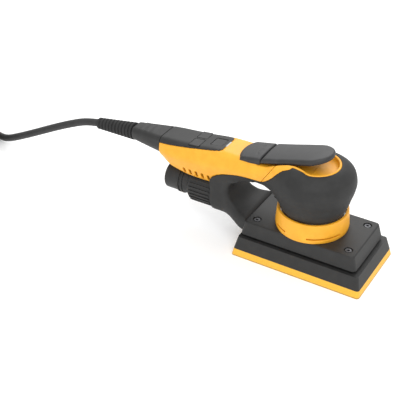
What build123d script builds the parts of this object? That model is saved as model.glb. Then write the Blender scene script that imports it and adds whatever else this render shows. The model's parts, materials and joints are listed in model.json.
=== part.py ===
"""Detail mouse sander with a rectangular pad, a paddle lever, a dust duct and a mains lead.

Millimetres. The origin is where the motor's axis meets the sanding face. +X runs to the nose,
the handle runs back along -X, and +Z is up.
"""

from build123d import *
from math import hypot, pi, radians, tan
import os

os.makedirs("parts", exist_ok=True)

ON_BASE = (Align.CENTER, Align.CENTER, Align.MIN)  # a cylinder stands on its location

# ---------------------------------------------------------------- driving dimensions
THROW = 1.5  # the pad's centre stands this far from the motor's axis
PAD_SIZE = (133.0, 81.0)
HOOK_TOP_SIZE = (132.6, 80.5)
FOAM_TOP_SIZE = (130.4, 77.4)
PLATE_TOP_SIZE = (123.8, 71.6)
PAD_CORNER = 3.0
HOOK_TOP = 1.2
FOAM_TOP = 7.2
PLATE_TOP = 20.1

SHROUD_BOTTOM_SIZE = (118.8, 65.8)
SHROUD_TOP_SIZE = (111.8, 62.6)
SHROUD_BOTTOM = 22.6
SHROUD_TOP = 36.8
SHROUD_WALL = 2.4
SHROUD_OPENING = 27.5  # radius of the fan's opening in the shroud's roof
LEG_SPOTS = (94.0, 44.0)  # spacing of the pad legs and of the screws that hold them
PORT_HEIGHT = 29.3  # the dust port in the shroud's rear wall
PORT_SIZE = (34.0, 8.4)
PORT_CORNER = 2.0

RING_RADIUS = 34.9
RING_TOP_RADIUS = 33.5
RING_BORE = 31.2
RING_TOP = 56.0
DOME_FOOT_RADIUS = 30.0

BOWL_RADIUS = 20.8
BOWL_RIM_RADIUS = 23.2
BOWL_FLOOR = 98.0
BOWL_RIM = 103.3

WALL = 2.5  # moulded shells
PANEL_FRONT = -88.5
HANDLE_REAR = -161.0
COLLAR_REAR = -101.5
HOUSING_SPLIT = 62.0  # the duct's collar meets the housing at this height
NECK_FRONT = -18.0

HOSE_HEIGHT = 40.5
HOSE_BORE = 12.0
HOSE_RADIUS = 14.0
COLLAR_BORE = 14.3
COLLAR_RADIUS = 19.6
HOSE_MOUTH = -158.0
HOSE_INNER_END = -90.0

PIVOT = (-54.0, 96.4)  # the lever's hinge line, X and Z
LEVER_REAR = -48.0
BUTTON_SPACE = 14.4  # half width of the room for the buttons under the control panel
COVER_REAR = -75.0
PIN_RADIUS = 1.0
EAR_RADIUS = 2.2
RUNNING_FIT = 0.05

BALL_RADIUS = 1.9
BALL_GROOVE = 2.0

RELIEF_START = (-200.0, 77.0)
RELIEF_TIP = (-247.0, 73.0)
CORD_DIAMETER = 8.0

COIL_CENTRE = (-457.5, -28.0)
COIL_INNER = 36.0
COIL_OUTER = 60.0
COIL_HEIGHT = 32.0

# Stations of the neck and handle: X, top, half width at the top, height and half width of the
# crease, bottom, half width at the bottom
STATIONS = [
    (HANDLE_REAR, 88.6, 14.6, 74.5, 17.5, 63.5, 9.5),
    (-148.0, 89.6, 15.2, 75.5, 21.0, 56.5, 13.0),
    (-122.0, 91.6, 15.6, 78.0, 22.6, 54.0, 15.5),
    (-88.0, 95.0, 16.2, 80.5, 22.6, 55.5, 16.0),
    (-62.0, 94.6, 17.4, 82.0, 23.4, 70.0, 15.5),
    (-40.0, 97.2, 19.6, 84.0, 26.0, 70.5, 18.0),
    (NECK_FRONT, 102.4, 21.6, 86.0, 30.0, 70.5, 21.0),
]

# Side view (X, Z) of the line where the yellow shells meet the black housing
COLOUR_LINE = [
    (-14.0, 104.0),
    (-23.0, 99.5),
    (-34.0, 87.5),
    (-43.0, 80.3),
    (-53.0, 79.2),
    (-71.0, 77.5),
    (-86.0, 73.6),
    (-96.0, 68.0),
    (COLLAR_REAR, HOUSING_SPLIT),
]
# Side view of the floor that the lever sinks down to
CHANNEL_REAR = -50.0
CHANNEL_HALF_WIDTH = 18.9
CHANNEL_FLOOR = [(0.0, BOWL_FLOOR), (-20.5, BOWL_FLOOR), (-34.0, 95.6), (CHANNEL_REAR, 94.2)]
SHELL_JOINT = ((-28.2, 105.0), (-46.0, 77.4))  # head shell to handle shell
PANEL_EDGE = [(HANDLE_REAR, 83.4), (-124.0, 88.6), (PANEL_FRONT, 94.6)]


def save(builder, name):
    """Labels a finished piece and writes its STEP file."""
    builder.part.label = name
    export_step(builder.part, f"parts/{name}.step")


# ---------------------------------------------------------------- shared shapes
def tapered_block(low, low_size, high, high_size, corner):
    """A block whose sides slope from one rounded rectangle to another."""
    with BuildPart() as block:
        with BuildSketch(Plane.XY.offset(low)):
            RectangleRounded(*low_size, corner)
        with BuildSketch(Plane.XY.offset(high)):
            RectangleRounded(*high_size, corner)
        loft(ruled=True)
    return block.part


def ring(outer, inner, low, high):
    """A plain ring about the Z axis."""
    with BuildPart() as body:
        with BuildSketch(Plane.XY.offset(low)):
            Circle(outer)
            Circle(inner, mode=Mode.SUBTRACT)
        extrude(amount=high - low)
    return body.part


def side_block(points, half_width):
    """A side view polygon in X and Z, as thick as the object is wide."""
    with BuildPart() as block:
        with BuildSketch(Plane.XZ):
            with BuildLine():
                Polyline(*points, close=True)
            make_face()
        extrude(amount=half_width, both=True)
    return block.part


def handle_section(station, inset):
    """The handle's cross-section: six sides with rounded corners."""
    x, top, half_top, crease, half_crease, bottom, half_bottom = station
    with BuildSketch(Plane.YZ.offset(x)) as section:
        with BuildLine():
            FilletPolyline(
                (half_top - inset, top - inset),
                (half_crease - inset, crease),
                (half_bottom - inset, bottom + inset),
                (inset - half_bottom, bottom + inset),
                (inset - half_crease, crease),
                (inset - half_top, top - inset),
                radius=(3.0, 9.0, 6.0, 6.0, 9.0, 3.0),
                close=True,
            )
        make_face()
    return section.sketch


def handle_body(inset):
    """Neck and handle as one solid, its sides moved in by the inset."""
    with BuildPart() as body:
        loft([handle_section(station, inset) for station in STATIONS])
    return body.part


def dome_body(inset):
    """The motor head's dome as a solid of revolution."""
    with BuildPart() as body:
        with BuildSketch(Plane.XZ):
            with BuildLine():
                Line((0.0, RING_TOP), (DOME_FOOT_RADIUS - inset, RING_TOP))
                Spline(
                    (DOME_FOOT_RADIUS - inset, RING_TOP),
                    (34.9 - inset, 69.5),
                    (38.4 - inset, 85.5),
                    (35.0 - 0.8 * inset, 96.6 - 0.6 * inset),
                    (BOWL_RIM_RADIUS - inset / 2, BOWL_RIM - inset),
                )
                Line(
                    (BOWL_RIM_RADIUS - inset / 2, BOWL_RIM - inset),
                    (0.0, BOWL_RIM - inset),
                )
                Line((0.0, BOWL_RIM - inset), (0.0, RING_TOP))
            make_face()
        revolve(axis=Axis.Z)
    return body.part


def hose_cylinder(radius, rear, front):
    """A cylinder along the hose axis."""
    with BuildPart() as body:
        with BuildSketch(Plane.YZ.offset(rear)):
            with Locations((0.0, HOSE_HEIGHT)):
                Circle(radius)
        extrude(amount=front - rear)
    return body.part


def colour_region():
    """Everything above the line where yellow meets black, back to the duct's rear face."""
    with BuildPart() as region:
        with BuildSketch(Plane.XZ):
            with BuildLine():
                Spline(*COLOUR_LINE)
                Polyline(
                    COLOUR_LINE[-1],
                    (COLLAR_REAR, 40.0),
                    (HANDLE_REAR - 5.0, 40.0),
                    (HANDLE_REAR - 5.0, 130.0),
                    (COLOUR_LINE[0][0], 130.0),
                    COLOUR_LINE[0],
                )
            make_face()
        extrude(amount=45.0, both=True)
        with BuildSketch(Plane.XY.offset(BOWL_FLOOR - WALL)):
            Circle(BOWL_RIM_RADIUS)
        extrude(amount=20.0)
    return region.part


def lever_recess():
    """The hollow that the lever sinks into: a bowl over the motor and a channel behind it."""
    with BuildPart() as recess:
        with BuildSketch(Plane.XY.offset(BOWL_FLOOR)):
            Circle(BOWL_RADIUS)
        extrude(amount=20.0)
        with BuildSketch(Plane.XZ):
            with BuildLine():
                Polyline(*CHANNEL_FLOOR, (CHANNEL_REAR, 125.0), (0.0, 125.0), close=True)
            make_face()
        extrude(amount=CHANNEL_HALF_WIDTH, both=True)
        with BuildSketch(Plane.XZ):
            with Locations((PIVOT[0], 99.0)):
                Rectangle(9.6, 10.8)
        extrude(amount=9.0, both=True)
    return recess.part


def recess_floor():
    """The moulded floor under the bowl and the channel."""
    with BuildPart() as floor:
        with BuildSketch(Plane.XY.offset(BOWL_FLOOR - WALL)):
            Circle(BOWL_RIM_RADIUS - 0.4)
        extrude(amount=WALL)
        add(ring(BOWL_RIM_RADIUS, BOWL_RADIUS, BOWL_FLOOR - WALL, BOWL_RIM))
        with BuildSketch(Plane.XZ):
            with BuildLine():
                Polyline(
                    *CHANNEL_FLOOR,
                    *[(x, z - WALL) for x, z in reversed(CHANNEL_FLOOR)],
                    close=True,
                )
            make_face()
        extrude(amount=CHANNEL_HALF_WIDTH, both=True)
    return floor.part


def ball_ring(inner_race, outer_race, low, high, centre_x, count):
    """Balls of a bearing, joined by their cage."""
    middle = (low + high) / 2
    pitch = (inner_race + outer_race) / 2
    with BuildPart() as cage:
        with Locations((centre_x, 0.0, middle)):
            with PolarLocations(pitch, count):
                Sphere(BALL_RADIUS)
        with BuildSketch(Plane.XY.offset(middle - 1.0)):
            with Locations((centre_x, 0.0)):
                Circle(pitch + 0.5)
                Circle(pitch - 0.5, mode=Mode.SUBTRACT)
        extrude(amount=2.0)
    return cage.part


def race(outer, inner, groove_radius, low, high, centre_x):
    """A bearing's ring, with the groove that its balls run in."""
    with BuildPart() as body:
        with BuildSketch(Plane.XY.offset(low)):
            with Locations((centre_x, 0.0)):
                Circle(outer)
                Circle(inner, mode=Mode.SUBTRACT)
        extrude(amount=high - low)
        with Locations((centre_x, 0.0, (low + high) / 2)):
            Torus(groove_radius, BALL_GROOVE, mode=Mode.SUBTRACT)
    return body.part


# Whole shapes that the shells are cut from
outer_body = handle_body(0.0)
inner_body = handle_body(WALL)
outer_dome = dome_body(0.0)
inner_dome = dome_body(WALL)
yellow_region = colour_region()
recess = lever_recess()
joint_front = side_block([*SHELL_JOINT, (60.0, 77.4), (60.0, 130.0), (-28.2, 130.0)], 45.0)
with BuildPart() as panel_cut:
    add(side_block([*PANEL_EDGE, (PANEL_FRONT, 120.0), (HANDLE_REAR, 120.0)], 30.0))
    add(
        side_block(
            [(HANDLE_REAR, 80.0), (PANEL_FRONT, 84.0), (PANEL_FRONT, 120.0), (HANDLE_REAR, 120.0)],
            BUTTON_SPACE,
        )
    )
panel_region = panel_cut.part
floor_plate = recess_floor()
ring_space = hose_cylinder(COLLAR_RADIUS + 0.4, -134.0, COLLAR_REAR)

# ---------------------------------------------------------------- pad
HOLE_COLUMNS = (-54.0, -36.0, -18.0, 0.0, 18.0, 36.0, 54.0)
HOLE_ROWS = (-27.0, -9.0, 9.0, 27.0)
HOLE_RADIUS = 2.5
HUB_CLEAR = 24.0  # no dust hole nearer to the middle than this
dust_holes = [
    (THROW + x, y) for x in HOLE_COLUMNS for y in HOLE_ROWS if hypot(x, y) > HUB_CLEAR
]


def pad_layer(low, low_size, high, high_size):
    """One layer of the pad, pierced by the dust holes."""
    with BuildPart() as layer:
        with Locations((THROW, 0.0, 0.0)):
            add(tapered_block(low, low_size, high, high_size, PAD_CORNER))
        with BuildSketch(Plane.XY.offset(low)):
            with Locations(*dust_holes):
                Circle(HOLE_RADIUS)
        extrude(amount=high - low, mode=Mode.SUBTRACT)
    return layer.part


with BuildPart() as hook_face:
    add(pad_layer(0.0, PAD_SIZE, HOOK_TOP, HOOK_TOP_SIZE))
save(hook_face, "hook_face")

with BuildPart() as pad_foam:
    add(pad_layer(HOOK_TOP, HOOK_TOP_SIZE, FOAM_TOP, FOAM_TOP_SIZE))
save(pad_foam, "pad_foam")

HUB_FLANGE_RADIUS = 21.0
HUB_FLANGE_TOP = 23.1
HUB_TUBE_RADIUS = 14.0
HUB_TOP = 33.0
PAD_BEARING = (25.7, 32.7)  # bottom and top
PAD_BEARING_RADIUS = 11.0
ECCENTRIC_RADIUS = 4.0
HUB_SCREW_CIRCLE = 17.5
HUB_SCREW_RADIUS = 1.5
HUB_SCREW_DEPTH = 8.0  # depth of its hole in the pad plate
HUB_HOLLOW_RADIUS = 8.0

with BuildPart() as pad_plate:
    add(pad_layer(FOAM_TOP, FOAM_TOP_SIZE, PLATE_TOP, PLATE_TOP_SIZE))
    with BuildSketch(Plane.XY.offset(PLATE_TOP - HUB_SCREW_DEPTH)):
        with Locations((THROW, 0.0)):
            with PolarLocations(HUB_SCREW_CIRCLE, 4, start_angle=45.0):
                Circle(HUB_SCREW_RADIUS)
    extrude(amount=HUB_SCREW_DEPTH, mode=Mode.SUBTRACT)
save(pad_plate, "pad_plate")

with BuildPart() as pad_hub:
    with BuildSketch(Plane.XY.offset(PLATE_TOP)):
        with Locations((THROW, 0.0)):
            Circle(HUB_FLANGE_RADIUS)
    extrude(amount=HUB_FLANGE_TOP - PLATE_TOP)
    with BuildSketch(Plane.XY.offset(HUB_FLANGE_TOP)):
        with Locations((THROW, 0.0)):
            Circle(HUB_TUBE_RADIUS)
    extrude(amount=HUB_TOP - HUB_FLANGE_TOP)
    with BuildSketch(Plane.XY.offset(PAD_BEARING[0])):
        with Locations((THROW, 0.0)):
            Circle(PAD_BEARING_RADIUS)
    extrude(amount=HUB_TOP - PAD_BEARING[0], mode=Mode.SUBTRACT)
    with BuildSketch(Plane.XY.offset(PLATE_TOP + 1.0)):
        with Locations((THROW, 0.0)):
            Circle(HUB_HOLLOW_RADIUS)
    extrude(amount=HUB_TOP - PLATE_TOP, mode=Mode.SUBTRACT)
    with BuildSketch(Plane.XY.offset(PLATE_TOP)):
        with Locations((THROW, 0.0)):
            with PolarLocations(HUB_SCREW_CIRCLE, 4, start_angle=45.0):
                Circle(HUB_SCREW_RADIUS + 0.2)
    extrude(amount=HUB_FLANGE_TOP - PLATE_TOP, mode=Mode.SUBTRACT)
save(pad_hub, "pad_hub")

with BuildPart() as hub_screws:
    with Locations((THROW, 0.0, 0.0)):
        with PolarLocations(HUB_SCREW_CIRCLE, 4, start_angle=45.0):
            with Locations((0.0, 0.0, PLATE_TOP - 7.0)):
                Cylinder(HUB_SCREW_RADIUS, 7.0 + HUB_FLANGE_TOP - PLATE_TOP, align=ON_BASE)
            with Locations((0.0, 0.0, HUB_FLANGE_TOP)):
                Cylinder(2.8, 1.8, align=ON_BASE)
save(hub_screws, "hub_screws")

# ---------------------------------------------------------------- bearings
LOWER_BEARING = (48.5, 56.5)
UPPER_BEARING = (88.7, 94.7)
LOWER_BEARING_RADIUS = 13.0
UPPER_BEARING_RADIUS = 9.5
SHAFT_RADIUS = 5.0
TOP_JOURNAL_RADIUS = 4.0


def bearing(name, bore, outer, span, centre_x, balls):
    """Writes a ball bearing as an outer ring, an inner ring and the balls in their cage."""
    pitch = (bore + outer) / 2
    low, high = span
    names = (f"{name}_outer_ring", f"{name}_inner_ring", f"{name}_balls")
    with BuildPart() as outer_ring:
        add(race(outer, pitch + 1.0, pitch, low, high, centre_x))
    with BuildPart() as inner_ring:
        add(race(pitch - 1.0, bore, pitch, low, high, centre_x))
    with BuildPart() as balls_and_cage:
        add(ball_ring(pitch, pitch, low, high, centre_x, balls))
    for piece, label in zip((outer_ring, inner_ring, balls_and_cage), names):
        save(piece, label)


bearing("pad_bearing", ECCENTRIC_RADIUS, PAD_BEARING_RADIUS, PAD_BEARING, THROW, 8)
bearing("lower_bearing", SHAFT_RADIUS, LOWER_BEARING_RADIUS, LOWER_BEARING, 0.0, 9)
bearing("upper_bearing", TOP_JOURNAL_RADIUS, UPPER_BEARING_RADIUS, UPPER_BEARING, 0.0, 7)

# ---------------------------------------------------------------- motor
SHAFT_STEPS = (34.0, 58.0, 86.0, 94.6)  # heights where the shaft changes its radius
ECCENTRIC_BOTTOM = 24.6
ROTOR = (64.0, 82.0)
ROTOR_RADIUS = 15.2
MAGNET_DEPTH = 3.0
STATOR_RADIUS = 29.5
STATOR_BORE = 16.2
SLOT_COUNT = 6
SLOT_CIRCLE = 22.0  # the stator's slots, their windings and the bracket's windows
WINDING = (17.6, 27.0)  # inner and outer radius of the winding heads
WINDING_HEADS = (5.0, 4.5)  # how far they stand out below and above the core

with BuildPart() as rotor_shaft:
    for radius, low, high in zip(
        (SHAFT_RADIUS, SHAFT_RADIUS + 1.0, TOP_JOURNAL_RADIUS), SHAFT_STEPS, SHAFT_STEPS[1:]
    ):
        with BuildSketch(Plane.XY.offset(low)):
            Circle(radius)
        extrude(amount=high - low)
    with BuildSketch(Plane.XY.offset(ECCENTRIC_BOTTOM)):
        with Locations((THROW, 0.0)):
            Circle(ECCENTRIC_RADIUS)
    extrude(amount=SHAFT_STEPS[0] - ECCENTRIC_BOTTOM)
save(rotor_shaft, "rotor_shaft")

with BuildPart() as rotor_core:
    add(ring(ROTOR_RADIUS - MAGNET_DEPTH, SHAFT_RADIUS + 1.0, *ROTOR))
save(rotor_core, "rotor_core")

with BuildPart() as rotor_magnets:
    add(ring(ROTOR_RADIUS, ROTOR_RADIUS - MAGNET_DEPTH, *ROTOR))
    with BuildSketch(Plane.XY.offset(ROTOR[0])):
        for angle in (0.0, 90.0):
            Rectangle(2 * ROTOR_RADIUS + 2.0, 1.6, rotation=angle)
    extrude(amount=ROTOR[1] - ROTOR[0], mode=Mode.SUBTRACT)
save(rotor_magnets, "rotor_magnets")

with BuildPart() as stator_core:
    add(ring(STATOR_RADIUS, STATOR_BORE, *ROTOR))
    with BuildSketch(Plane.XY.offset(ROTOR[0])):
        with PolarLocations(SLOT_CIRCLE, SLOT_COUNT):
            RectangleRounded(8.6, 10.6, 1.5)
    extrude(amount=ROTOR[1] - ROTOR[0], mode=Mode.SUBTRACT)
save(stator_core, "stator_core")

with BuildPart() as stator_windings:
    with BuildSketch(Plane.XY.offset(ROTOR[0] - WINDING_HEADS[0])):
        with PolarLocations(SLOT_CIRCLE, SLOT_COUNT):
            RectangleRounded(8.0, 10.0, 1.2)
    extrude(amount=ROTOR[1] - ROTOR[0] + sum(WINDING_HEADS))
    add(ring(WINDING[1], WINDING[0], ROTOR[0] - WINDING_HEADS[0], ROTOR[0]))
    add(ring(WINDING[1], WINDING[0], ROTOR[1], ROTOR[1] + WINDING_HEADS[1]))
save(stator_windings, "stator_windings")

UPPER_BRACKET = 87.2  # underside
LOWER_BRACKET = 47.2
BRACKET_PLATE = 2.7
BRACKET_RIM_RADIUS = 29.0

with BuildPart() as upper_bracket:
    with BuildSketch(Plane.XY.offset(UPPER_BRACKET)):
        Circle(33.0)
    extrude(amount=BRACKET_PLATE)
    with BuildSketch(Plane.XY.offset(UPPER_BRACKET)):
        Circle(UPPER_BEARING_RADIUS + 2.5)
    extrude(amount=8.2)
    with BuildSketch(Plane.XY.offset(UPPER_BEARING[0])):
        Circle(UPPER_BEARING_RADIUS)
    extrude(amount=UPPER_BEARING[1] - UPPER_BEARING[0], mode=Mode.SUBTRACT)
    with BuildSketch(Plane.XY.offset(UPPER_BRACKET)):
        Circle(UPPER_BEARING_RADIUS - 2.5)
        with PolarLocations(SLOT_CIRCLE, 6, start_angle=30.0):
            RectangleRounded(9.0, 11.0, 2.0)
    extrude(amount=BRACKET_PLATE, mode=Mode.SUBTRACT)
save(upper_bracket, "upper_bracket")

with BuildPart() as lower_bracket:
    with BuildSketch(Plane.XY.offset(LOWER_BRACKET)):
        Circle(RING_BORE)
    extrude(amount=BRACKET_PLATE)
    with BuildSketch(Plane.XY.offset(LOWER_BRACKET)):
        Circle(LOWER_BEARING_RADIUS + 2.5)
    extrude(amount=10.4)
    add(ring(BRACKET_RIM_RADIUS, 27.0, LOWER_BRACKET + BRACKET_PLATE - 0.2, RING_TOP))
    with BuildSketch(Plane.XY.offset(LOWER_BEARING[0])):
        Circle(LOWER_BEARING_RADIUS)
    extrude(amount=10.0, mode=Mode.SUBTRACT)
    with BuildSketch(Plane.XY.offset(LOWER_BRACKET)):
        Circle(8.0)
        with PolarLocations(21.0, 8, start_angle=22.5):
            RectangleRounded(5.0, 8.0, 1.5)
    extrude(amount=BRACKET_PLATE, mode=Mode.SUBTRACT)
save(lower_bracket, "lower_bracket")

FAN = (39.6, 46.2)
FAN_RADIUS = 26.5
FAN_HUB_RADIUS = 8.5
FAN_BLADES = 9
WEIGHT = (34.4, 39.0)
WEIGHT_RADIUS = 24.0

with BuildPart() as cooling_fan:
    add(ring(FAN_HUB_RADIUS, SHAFT_RADIUS, *FAN))
    add(ring(FAN_RADIUS, FAN_HUB_RADIUS - 0.5, FAN[1] - 1.4, FAN[1]))
    with BuildSketch(Plane.XY.offset(FAN[0])):
        with PolarLocations(17.0, FAN_BLADES):
            Rectangle(18.0, 1.6, rotation=18.0)
    extrude(amount=FAN[1] - FAN[0] - 0.8)
save(cooling_fan, "cooling_fan")

with BuildPart() as counterweight:
    with BuildSketch(Plane.XY.offset(WEIGHT[0])):
        Circle(WEIGHT_RADIUS)
        with Locations((WEIGHT_RADIUS, 0.0)):
            Rectangle(2 * WEIGHT_RADIUS, 2 * WEIGHT_RADIUS, mode=Mode.SUBTRACT)
        Circle(9.0)
        Circle(SHAFT_RADIUS, mode=Mode.SUBTRACT)
    extrude(amount=WEIGHT[1] - WEIGHT[0])
save(counterweight, "counterweight")

# ---------------------------------------------------------------- shroud and ring
SCREW_RECESS = (4.2, 1.6)  # radius and depth
SCREW_HOLE_RADIUS = 1.6
SHROUD_ROOF = 3.0

with BuildPart() as dust_shroud:
    add(tapered_block(SHROUD_BOTTOM, SHROUD_BOTTOM_SIZE, SHROUD_TOP, SHROUD_TOP_SIZE, 4.0))
    fillet(dust_shroud.faces().sort_by(Axis.Z)[-1].edges(), 1.6)
    inner_bottom = tuple(side - 2 * SHROUD_WALL for side in SHROUD_BOTTOM_SIZE)
    inner_top = tuple(side - 2 * SHROUD_WALL for side in SHROUD_TOP_SIZE)
    add(
        tapered_block(SHROUD_BOTTOM, inner_bottom, SHROUD_TOP - SHROUD_ROOF, inner_top, 3.0),
        mode=Mode.SUBTRACT,
    )
    with BuildSketch(Plane.XY.offset(SHROUD_TOP - 4.0)):
        Circle(SHROUD_OPENING)
        with GridLocations(*LEG_SPOTS, 2, 2):
            Circle(SCREW_HOLE_RADIUS)
    extrude(amount=6.0, mode=Mode.SUBTRACT)
    with BuildSketch(Plane.XY.offset(SHROUD_TOP - SCREW_RECESS[1])):
        with GridLocations(*LEG_SPOTS, 2, 2):
            Circle(SCREW_RECESS[0])
    extrude(amount=2.0, mode=Mode.SUBTRACT)
    with BuildSketch(Plane.YZ.offset(-62.0)):
        with Locations((0.0, PORT_HEIGHT)):
            RectangleRounded(*PORT_SIZE, PORT_CORNER)
    extrude(amount=14.0, mode=Mode.SUBTRACT)
save(dust_shroud, "dust_shroud")

with BuildPart() as shroud_screws:
    with GridLocations(*LEG_SPOTS, 2, 2):
        with Locations((0.0, 0.0, SHROUD_TOP - 9.0)):
            Cylinder(SCREW_HOLE_RADIUS - 0.1, 7.4, align=ON_BASE)
        with Locations((0.0, 0.0, SHROUD_TOP - SCREW_RECESS[1])):
            Cylinder(3.0, 1.1, align=ON_BASE)
    with BuildSketch(Plane.XY.offset(SHROUD_TOP - 1.3)):
        with GridLocations(*LEG_SPOTS, 2, 2):
            RegularPolygon(1.4, 6)
    extrude(amount=2.0, mode=Mode.SUBTRACT)
save(shroud_screws, "shroud_screws")

LEG_TOP = SHROUD_TOP - SHROUD_ROOF
LEG_FOOT = (4.6, 2.5)  # radius and height
LEG_WAIST_RADIUS = 2.8

with BuildPart() as pad_legs:
    with GridLocations(*LEG_SPOTS, 2, 2):
        with Locations((0.0, 0.0, PLATE_TOP)):
            Cylinder(*LEG_FOOT, align=ON_BASE)
            Cylinder(LEG_WAIST_RADIUS, LEG_TOP - PLATE_TOP, align=ON_BASE)
        with Locations((0.0, 0.0, LEG_TOP - LEG_FOOT[1])):
            Cylinder(*LEG_FOOT, align=ON_BASE)
    with BuildSketch(Plane.XY.offset(SHROUD_TOP - 9.0)):
        with GridLocations(*LEG_SPOTS, 2, 2):
            Circle(SCREW_HOLE_RADIUS - 0.1)
    extrude(amount=9.0, mode=Mode.SUBTRACT)
save(pad_legs, "pad_legs")

# Air slots round the ring: start angle and sweep of each, in degrees
RING_SLOTS = [(-74.0, 56.0), (18.0, 56.0), (-135.0, 25.0), (110.0, 25.0)]
SLOT_HEIGHTS = (40.9, 42.5)

with BuildPart() as collar_ring:
    with BuildSketch(Plane.XZ):
        with BuildLine():
            FilletPolyline(
                (RING_BORE, SHROUD_TOP),
                (RING_RADIUS - 0.4, SHROUD_TOP),
                (RING_RADIUS, 40.0),
                (RING_TOP_RADIUS, RING_TOP),
                (RING_BORE, RING_TOP),
                radius=(0.8, 0.6, 1.2, 0.3, 0.3),
                close=True,
            )
        make_face()
    revolve(axis=Axis.Z)
    for start, sweep_angle in RING_SLOTS:
        with BuildSketch(Plane.XZ.rotated((0.0, 0.0, start))):
            with Locations((33.4, sum(SLOT_HEIGHTS) / 2)):
                Rectangle(6.0, SLOT_HEIGHTS[1] - SLOT_HEIGHTS[0])
        revolve(axis=Axis.Z, revolution_arc=sweep_angle, mode=Mode.SUBTRACT)
save(collar_ring, "collar_ring")

# ---------------------------------------------------------------- head and handle shells
with BuildPart() as head_housing:
    add(outer_body)
    with BuildSketch(Plane.XY):
        with Locations((-60.0, 0.0)):
            Rectangle(120.0, 90.0)
    extrude(amount=HOUSING_SPLIT, mode=Mode.SUBTRACT)
    with BuildSketch(Plane.XY.offset(40.0)):
        with Locations((COLLAR_REAR - 50.0, 0.0)):
            Rectangle(100.0, 90.0)
    extrude(amount=80.0, mode=Mode.SUBTRACT)
    add(outer_dome)
    add(yellow_region, mode=Mode.SUBTRACT)
    add(inner_body, mode=Mode.SUBTRACT)
    add(inner_dome, mode=Mode.SUBTRACT)
    add(ring(BRACKET_RIM_RADIUS, SHAFT_RADIUS, RING_TOP - 1.0, 59.0), mode=Mode.SUBTRACT)
    add(recess, mode=Mode.SUBTRACT)
save(head_housing, "head_housing")

with BuildPart() as head_floor:
    add(floor_plate)
    add(joint_front, mode=Mode.INTERSECT)

with BuildPart() as handle_floor:
    add(floor_plate)
    add(joint_front, mode=Mode.SUBTRACT)

with BuildPart() as head_top_shell:
    add(outer_body)
    add(outer_dome)
    add(yellow_region, mode=Mode.INTERSECT)
    add(joint_front, mode=Mode.INTERSECT)
    add(inner_body, mode=Mode.SUBTRACT)
    add(inner_dome, mode=Mode.SUBTRACT)
    add(head_floor.part)
    add(recess, mode=Mode.SUBTRACT)
save(head_top_shell, "head_top_shell")

VENT_STATIONS = (-131.0, -124.1, -117.2, -110.3, -103.4)
SCREW_SPOTS = [(-140.0, 8.0), (-140.0, -8.0)]
TRAY_BOTTOM = 64.8
SPRING_X = -45.6
SPRING_SEAT = 87.0
SPRING_ROOM = 3.4  # radius

with BuildPart() as handle_shell:
    add(outer_body)
    add(yellow_region, mode=Mode.INTERSECT)
    add(joint_front, mode=Mode.SUBTRACT)
    add(panel_region, mode=Mode.SUBTRACT)
    add(inner_body, mode=Mode.SUBTRACT)
    add(handle_floor.part)
    add(recess, mode=Mode.SUBTRACT)
    with Locations((SPRING_X, 0.0, SPRING_SEAT - 1.5)):
        Cylinder(SPRING_ROOM + 1.2, 8.2, align=ON_BASE)
    with Locations((SPRING_X, 0.0, SPRING_SEAT)):
        Cylinder(SPRING_ROOM, 12.0, align=ON_BASE, mode=Mode.SUBTRACT)
    with BuildSketch(Plane.XZ):
        for x in VENT_STATIONS:
            with Locations((x, 62.3)):
                SlotOverall(7.0, 2.8, rotation=96.0)
    extrude(amount=40.0, both=True, mode=Mode.SUBTRACT)
    add(ring_space, mode=Mode.SUBTRACT)
    with Locations(*SCREW_SPOTS):
        with Locations((0.0, 0.0, 57.0)):
            Cylinder(4.6, TRAY_BOTTOM - 57.0, align=ON_BASE)
        with Locations((0.0, 0.0, 50.0)):
            Cylinder(3.1, 10.0, align=ON_BASE, mode=Mode.SUBTRACT)
            Cylinder(1.6, 16.0, align=ON_BASE, mode=Mode.SUBTRACT)
save(handle_shell, "handle_shell")

# ---------------------------------------------------------------- control panel
PANEL_SLOPE = 0.1
PANEL_POINT = (-107.5, 0.0, 93.05)
panel_plane = Plane(origin=PANEL_POINT, x_dir=(1.0, 0.0, PANEL_SLOPE), z_dir=(-PANEL_SLOPE, 0.0, 1.0))
# Buttons on the panel's plane: name, centre along the handle, centre across it, length, width
BUTTONS = [
    ("power_button", 6.0, 0.0, 13.0, 13.6),
    ("minus_button", -14.6, -7.7, 12.0, 13.4),
    ("plus_button", -14.6, 7.7, 12.0, 13.4),
]
BUTTON_GAP = 0.35
LIGHT_BAR = (16.4, 0.0, 1.6, 10.0)

with BuildPart() as control_panel:
    add(outer_body)
    add(panel_region, mode=Mode.INTERSECT)
    add(inner_body, mode=Mode.SUBTRACT)
    with BuildSketch(panel_plane.offset(-8.0)):
        for _, along, across, length, width in BUTTONS:
            with Locations((along, across)):
                RectangleRounded(length, width, 1.2)
        with Locations(LIGHT_BAR[:2]):
            Rectangle(*LIGHT_BAR[2:])
    extrude(amount=16.0, mode=Mode.SUBTRACT)
save(control_panel, "control_panel")


def push_button(name, along, across, length, width):
    """A button that stands in its hole in the panel, with a stem down to its switch."""
    with BuildPart() as button:
        with BuildSketch(panel_plane.offset(-2.6)):
            with Locations((along, across)):
                RectangleRounded(length - 2 * BUTTON_GAP, width - 2 * BUTTON_GAP, 1.0)
        extrude(amount=2.7)
        fillet(button.faces().sort_by(Axis.Z)[-1].edges(), 0.3)
        with BuildSketch(panel_plane.offset(-4.2)):
            with Locations((along, across)):
                Circle(2.5)
        extrude(amount=1.6)
    save(button, name)


for row in BUTTONS:
    push_button(*row)

with BuildPart() as light_bar:
    with BuildSketch(panel_plane.offset(-2.6)):
        with Locations(LIGHT_BAR[:2]):
            Rectangle(LIGHT_BAR[2], LIGHT_BAR[3])
    extrude(amount=2.7)
save(light_bar, "light_bar")

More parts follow.
